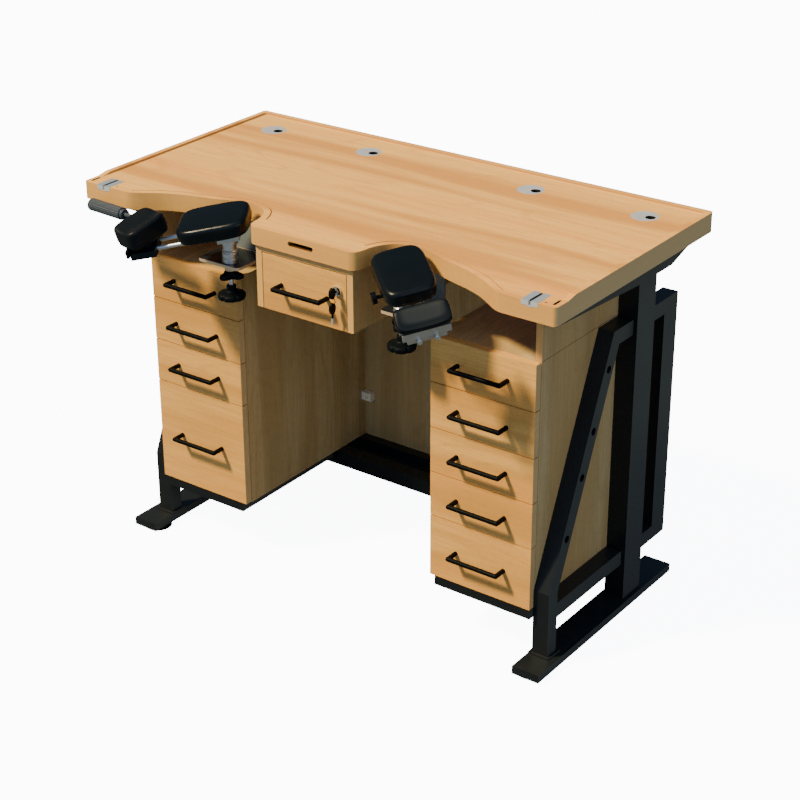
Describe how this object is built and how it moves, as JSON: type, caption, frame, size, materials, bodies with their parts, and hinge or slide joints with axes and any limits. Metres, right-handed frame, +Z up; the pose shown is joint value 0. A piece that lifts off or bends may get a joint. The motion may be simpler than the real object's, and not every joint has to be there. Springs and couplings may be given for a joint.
{
  "type": "watchmakers bench",
  "caption": "Beech workbench with arm cut-outs, padded swivel armrests, drawer pedestals, a lockable centre drawer and a black steel frame.",
  "frame": {"origin": "on the floor, under the middle of the bench's outline from above", "axes": "+X to the sitter's right along the worktop, +Y from the sitter to the back, +Z up"},
  "size_m": [1.3, 0.803, 0.9517],
  "materials": {
    "beech": "clear satin varnish on beech",
    "frame_black": "satin black powder coat",
    "insert_aluminium": "fine brushed",
    "zinc_steel": "satin grey metal",
    "chrome": "polished",
    "pad_cover": "smooth black upholstery with soft highlights",
    "black_plastic": "fine matt",
    "block_plastic": "beige moulding",
    "handle_black": "satin black"
  },
  "bodies": {
    "bench": {"frame_left": "frame_black", "frame_right": "frame_black", "crossbars": "frame_black", "glides": "black_plastic", "frame_bolts": "zinc_steel", "worktop": "beech", "inserts": "insert_aluminium", "corner_plates": "insert_aluminium", "screws": "zinc_steel", "case_left": "beech", "case_right": "beech", "case_center": "beech", "risers": "beech", "back_panel": "beech", "corner_blocks": "block_plastic", "runners": "beech", "bracket_left": "zinc_steel", "bracket_right": "zinc_steel"},
    "drawer_left_1": {"drawer_left_1": "beech", "handle_left_1": "handle_black"},
    "drawer_left_2": {"drawer_left_2": "beech", "handle_left_2": "handle_black"},
    "drawer_left_3": {"drawer_left_3": "beech", "handle_left_3": "handle_black"},
    "drawer_left_4": {"drawer_left_4": "beech", "handle_left_4": "handle_black"},
    "drawer_right_1": {"drawer_right_1": "beech", "handle_right_1": "handle_black"},
    "drawer_right_2": {"drawer_right_2": "beech", "handle_right_2": "handle_black"},
    "drawer_right_3": {"drawer_right_3": "beech", "handle_right_3": "handle_black"},
    "drawer_right_4": {"drawer_right_4": "beech", "handle_right_4": "handle_black"},
    "drawer_right_5": {"drawer_right_5": "beech", "handle_right_5": "handle_black"},
    "drawer_center": {"drawer_center": "beech", "handle_center": "handle_black", "lock": "chrome"},
    "lock_plug": {"lock_plug": "zinc_steel", "key": "black_plastic"},
    "spare_key": {"spare_key": "black_plastic"},
    "star_knob_left": {"star_knob_left": "black_plastic"},
    "lower_knob_left": {"lower_knob_left": "black_plastic"},
    "post_left": {"post_left": "zinc_steel"},
    "arm_left": {"arm_left": "zinc_steel", "hand_pad_left": "pad_cover"},
    "carriage_left": {"elbow_carriage_left": "zinc_steel"},
    "elbow_left": {"elbow_pad_left": "pad_cover"},
    "grip": {"grip": "zinc_steel"},
    "star_knob_right": {"star_knob_right": "black_plastic"},
    "lower_knob_right": {"lower_knob_right": "black_plastic"},
    "post_right": {"post_right": "zinc_steel"},
    "arm_right": {"arm_right": "zinc_steel", "hand_pad_right": "pad_cover"},
    "carriage_right": {"elbow_carriage_right": "zinc_steel"},
    "elbow_right": {"elbow_pad_right": "pad_cover"},
    "clamp_knob": {"clamp_knob": "black_plastic"}
  },
  "joints": [
    {"name": "left_1_drawer_slide", "type": "slide", "parent": "bench", "child": "drawer_left_1", "axis": [0, -1, 0], "range_m": [0, 0.35]},
    {"name": "left_2_drawer_slide", "type": "slide", "parent": "bench", "child": "drawer_left_2", "axis": [0, -1, 0], "range_m": [0, 0.35]},
    {"name": "left_3_drawer_slide", "type": "slide", "parent": "bench", "child": "drawer_left_3", "axis": [0, -1, 0], "range_m": [0, 0.35]},
    {"name": "left_4_drawer_slide", "type": "slide", "parent": "bench", "child": "drawer_left_4", "axis": [0, -1, 0], "range_m": [0, 0.35]},
    {"name": "right_1_drawer_slide", "type": "slide", "parent": "bench", "child": "drawer_right_1", "axis": [0, -1, 0], "range_m": [0, 0.35]},
    {"name": "right_2_drawer_slide", "type": "slide", "parent": "bench", "child": "drawer_right_2", "axis": [0, -1, 0], "range_m": [0, 0.35]},
    {"name": "right_3_drawer_slide", "type": "slide", "parent": "bench", "child": "drawer_right_3", "axis": [0, -1, 0], "range_m": [0, 0.35]},
    {"name": "right_4_drawer_slide", "type": "slide", "parent": "bench", "child": "drawer_right_4", "axis": [0, -1, 0], "range_m": [0, 0.35]},
    {"name": "right_5_drawer_slide", "type": "slide", "parent": "bench", "child": "drawer_right_5", "axis": [0, -1, 0], "range_m": [0, 0.35]},
    {"name": "center_drawer_slide", "type": "slide", "parent": "bench", "child": "drawer_center", "axis": [0, -1, 0], "range_m": [0, 0.3]},
    {"name": "lock_turn", "type": "hinge", "parent": "drawer_center", "child": "lock_plug", "pos_m": [0.094, -0.2485, 0.834], "axis": [0, -1, 0], "range_deg": [0, 90]},
    {"name": "spare_key_swing", "type": "hinge", "parent": "lock_plug", "child": "spare_key", "pos_m": [0.094, -0.269, 0.8255], "axis": [1, 0, 0], "range_deg": [-50, 8]},
    {"name": "star_knob_left_turn", "type": "hinge", "parent": "bench", "child": "star_knob_left", "pos_m": [-0.241, -0.2165, 0.783], "axis": [0, 0, 1], "range_deg": [0, 270]},
    {"name": "lower_knob_left_turn", "type": "hinge", "parent": "bench", "child": "lower_knob_left", "pos_m": [-0.241, -0.2165, 0.743], "axis": [0, 0, 1], "range_deg": [0, 1440]},
    {"name": "post_left_lift", "type": "slide", "parent": "bench", "child": "post_left", "axis": [0, 0, 1], "range_m": [0, 0.024]},
    {"name": "arm_left_swivel", "type": "hinge", "parent": "post_left", "child": "arm_left", "pos_m": [-0.241, -0.2165, 0.859], "axis": [0, 0, 1], "range_deg": [0, 30]},
    {"name": "carriage_left_slide", "type": "slide", "parent": "arm_left", "child": "carriage_left", "axis": [-0.8522, -0.4724, -0.225], "range_m": [0, 0.012]},
    {"name": "elbow_pad_left_turn", "type": "hinge", "parent": "carriage_left", "child": "elbow_left", "pos_m": [-0.41195, -0.31606, 0.8635], "axis": [-0.1006, -0.2739, 0.9565], "range_deg": [0, 24]},
    {"name": "grip_turn", "type": "hinge", "parent": "elbow_left", "child": "grip", "pos_m": [-0.50552, -0.29197, 0.8961], "axis": [-0.9854, 0.1601, -0.0578], "continuous": true},
    {"name": "star_knob_right_turn", "type": "hinge", "parent": "bench", "child": "star_knob_right", "pos_m": [0.241, -0.2165, 0.783], "axis": [0, 0, 1], "range_deg": [0, 270]},
    {"name": "lower_knob_right_turn", "type": "hinge", "parent": "bench", "child": "lower_knob_right", "pos_m": [0.241, -0.2165, 0.743], "axis": [0, 0, 1], "range_deg": [0, 1440]},
    {"name": "post_right_lift", "type": "slide", "parent": "bench", "child": "post_right", "axis": [0, 0, 1], "range_m": [0, 0.024]},
    {"name": "arm_right_swivel", "type": "hinge", "parent": "post_right", "child": "arm_right", "pos_m": [0.241, -0.2165, 0.859], "axis": [0, 0, 1], "range_deg": [-30, 4]},
    {"name": "carriage_right_slide", "type": "slide", "parent": "arm_right", "child": "carriage_right", "axis": [0.7572, -0.6132, -0.225], "range_m": [-0.01, 0.012]},
    {"name": "elbow_pad_right_turn", "type": "hinge", "parent": "carriage_right", "child": "elbow_right", "pos_m": [0.37768, -0.33258, 0.86778], "axis": [0.0515, -0.2873, 0.9565], "range_deg": [-12, 12]},
    {"name": "clamp_knob_turn", "type": "hinge", "parent": "arm_right", "child": "clamp_knob", "pos_m": [0.22256, -0.29757, 0.86365], "axis": [-0.6511, -0.7359, -0.1859], "range_deg": [0, 270]}
  ],
  "couplings": [
    {"joint": "lower_knob_left_turn", "follows": "post_left_lift", "rad_per_m": 1047},
    {"joint": "lower_knob_right_turn", "follows": "post_right_lift", "rad_per_m": 1047}
  ]
}
